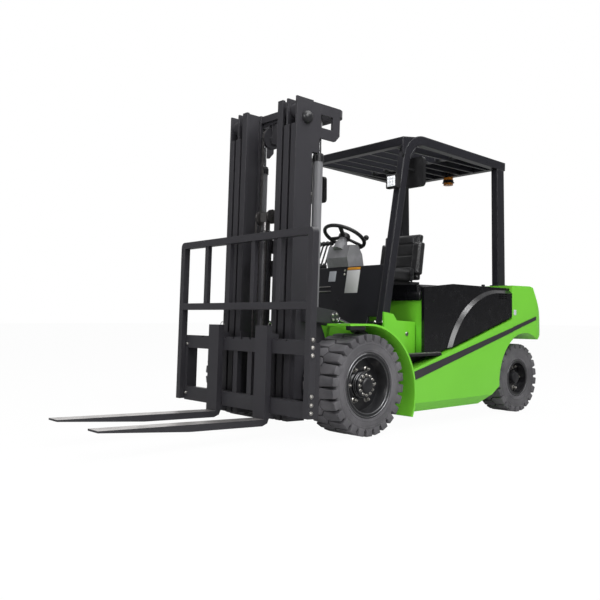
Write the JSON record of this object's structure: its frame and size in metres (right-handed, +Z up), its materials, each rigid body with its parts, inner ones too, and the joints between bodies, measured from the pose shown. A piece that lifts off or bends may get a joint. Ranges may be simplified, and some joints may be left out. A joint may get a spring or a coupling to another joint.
{
  "type": "electric counterbalance forklift truck",
  "caption": "Counterbalance forklift truck with a telescoping mast, side-shifting forks, load backrest, open cab under an overhead guard and a rear counterweight.",
  "frame": {"origin": "on the ground under the middle of the truck's length and width", "axes": "+X forward along the forks, +Y to the truck's left, +Z up"},
  "size_m": [4.1717, 1.57, 2.3741],
  "materials": {
    "body_paint": "satin green paint",
    "weight_paint": "satin green paint on a casting",
    "stripe_paint": "satin dark grey band",
    "mast_paint": "satin charcoal paint",
    "fork_steel": "charcoal paint worn to steel on the blades",
    "guard_paint": "satin black paint",
    "axle_paint": "black paint",
    "rim_paint": "semi-gloss black paint",
    "hood_plastic": "gloss black moulding",
    "cab_plastic": "matt black moulding",
    "dash_plastic": "grey moulding",
    "seat_vinyl": "black vinyl",
    "tread_rubber": "solid rubber",
    "rod_chrome": "hard chrome",
    "chain_steel": "oiled steel",
    "lamp_housing": "black lamp housing",
    "amber_lens": "amber lens",
    "battery_case": "plain block"
  },
  "bodies": {
    "truck": {"chassis_frame": "body_paint", "drive_axle": "axle_paint", "steer_axle": "axle_paint", "battery_block": "battery_case", "counterweight": "weight_paint", "side_panels": "body_paint", "side_stripes": "stripe_paint", "fenders": "body_paint", "step_plates": "cab_plastic", "cab_sides": "body_paint", "floor_plate": "cab_plastic", "front_cowl": "guard_paint", "dash_console": "dash_plastic", "steering_wheel": "cab_plastic", "control_levers": "cab_plastic", "foot_pedals": "cab_plastic", "hood_lid": "hood_plastic", "hood_sides": "hood_plastic", "hood_front": "body_paint", "seat_base": "cab_plastic", "seat_cushion": "seat_vinyl", "seat_back": "seat_vinyl", "guard_hoops": "guard_paint", "guard_rear_pillars": "guard_paint", "guard_header": "guard_paint", "guard_roof_bars": "guard_paint", "work_lamps": "lamp_housing", "mirrors": "lamp_housing", "warning_lamp": "amber_lens"},
    "mast_outer": {"mast_outer": "mast_paint", "lift_cylinders": "mast_paint"},
    "mast_middle": {"mast_middle": "mast_paint", "lift_rods": "rod_chrome", "main_chains": "chain_steel"},
    "mast_inner": {"mast_inner": "mast_paint", "free_lift_cylinder": "mast_paint"},
    "crosshead": {"crosshead": "chain_steel", "carriage_chains": "chain_steel"},
    "carriage": {"carriage": "mast_paint"},
    "shifter": {"shifter_frame": "mast_paint", "load_backrest": "mast_paint"},
    "fork_left": {"fork_left": "fork_steel"},
    "fork_right": {"fork_right": "fork_steel"},
    "tilt_barrels": {"tilt_barrels": "axle_paint"},
    "tilt_rods": {"tilt_rods": "rod_chrome"},
    "wheel_front_left": {"tyre_front_left": "tread_rubber", "rim_front_left": "rim_paint"},
    "wheel_front_right": {"tyre_front_right": "tread_rubber", "rim_front_right": "rim_paint"},
    "knuckle_left": {"knuckle_left": "axle_paint"},
    "knuckle_right": {"knuckle_right": "axle_paint"},
    "wheel_rear_left": {"tyre_rear_left": "tread_rubber", "rim_rear_left": "rim_paint"},
    "wheel_rear_right": {"tyre_rear_right": "tread_rubber", "rim_rear_right": "rim_paint"}
  },
  "joints": [
    {"name": "front_left_spin", "type": "hinge", "parent": "truck", "child": "wheel_front_left", "pos_m": [0.27408, 0, 0.355], "axis": [0, 1, 0], "continuous": true},
    {"name": "front_right_spin", "type": "hinge", "parent": "truck", "child": "wheel_front_right", "pos_m": [0.27408, 0, 0.355], "axis": [0, 1, 0], "continuous": true},
    {"name": "steer_left", "type": "hinge", "parent": "truck", "child": "knuckle_left", "pos_m": [-1.70092, 0.43, 0.298], "axis": [0, 0, 1], "range_deg": [-65, 65]},
    {"name": "steer_right", "type": "hinge", "parent": "truck", "child": "knuckle_right", "pos_m": [-1.70092, -0.43, 0.298], "axis": [0, 0, 1], "range_deg": [-65, 65]},
    {"name": "rear_left_spin", "type": "hinge", "parent": "knuckle_left", "child": "wheel_rear_left", "pos_m": [-1.70092, 0, 0.298], "axis": [0, 1, 0], "continuous": true},
    {"name": "rear_right_spin", "type": "hinge", "parent": "knuckle_right", "child": "wheel_rear_right", "pos_m": [-1.70092, 0, 0.298], "axis": [0, 1, 0], "continuous": true},
    {"name": "mast_tilt", "type": "hinge", "parent": "truck", "child": "mast_outer", "pos_m": [0.27408, 0, 0.355], "axis": [0, 1, 0], "range_deg": [-8, 8]},
    {"name": "tilt_barrel_swing", "type": "hinge", "parent": "truck", "child": "tilt_barrels", "pos_m": [-0.24592, 0, 0.619], "axis": [0, 1, 0], "range_deg": [-3.03, 3.03]},
    {"name": "tilt_rod_slide", "type": "slide", "parent": "tilt_barrels", "child": "tilt_rods", "axis": [0.9472, 0, 0.3207], "range_m": [-0.0592, 0.0592]},
    {"name": "main_lift", "type": "slide", "parent": "mast_outer", "child": "mast_middle", "axis": [-0.0349, 0, 0.9994], "range_m": [0, 1.6], "deforming": ["main_chains"]},
    {"name": "inner_lift", "type": "slide", "parent": "mast_middle", "child": "mast_inner", "axis": [-0.0349, 0, 0.9994], "range_m": [0, 1.6]},
    {"name": "free_lift", "type": "slide", "parent": "mast_inner", "child": "carriage", "axis": [-0.0349, 0, 0.9994], "range_m": [-0.05, 1.5], "deforming": ["carriage_chains"]},
    {"name": "crosshead_lift", "type": "slide", "parent": "mast_inner", "child": "crosshead", "axis": [-0.0349, 0, 0.9994], "range_m": [-0.025, 0.75]},
    {"name": "side_shift", "type": "slide", "parent": "carriage", "child": "shifter", "axis": [0, 1, 0], "range_m": [-0.1, 0.1]},
    {"name": "fork_left_slide", "type": "slide", "parent": "shifter", "child": "fork_left", "axis": [0, 1, 0], "range_m": [-0.2, 0.34]},
    {"name": "fork_right_slide", "type": "slide", "parent": "shifter", "child": "fork_right", "axis": [0, -1, 0], "range_m": [-0.2, 0.34]}
  ],
  "couplings": [
    {"joint": "steer_right", "follows": "steer_left", "ratio": 1},
    {"joint": "tilt_barrel_swing", "follows": "mast_tilt", "ratio": 0.3663},
    {"joint": "tilt_rod_slide", "follows": "mast_tilt", "m_per_rad": 0.41682},
    {"joint": "inner_lift", "follows": "main_lift", "ratio": 1},
    {"joint": "crosshead_lift", "follows": "free_lift", "ratio": 0.5}
  ]
}
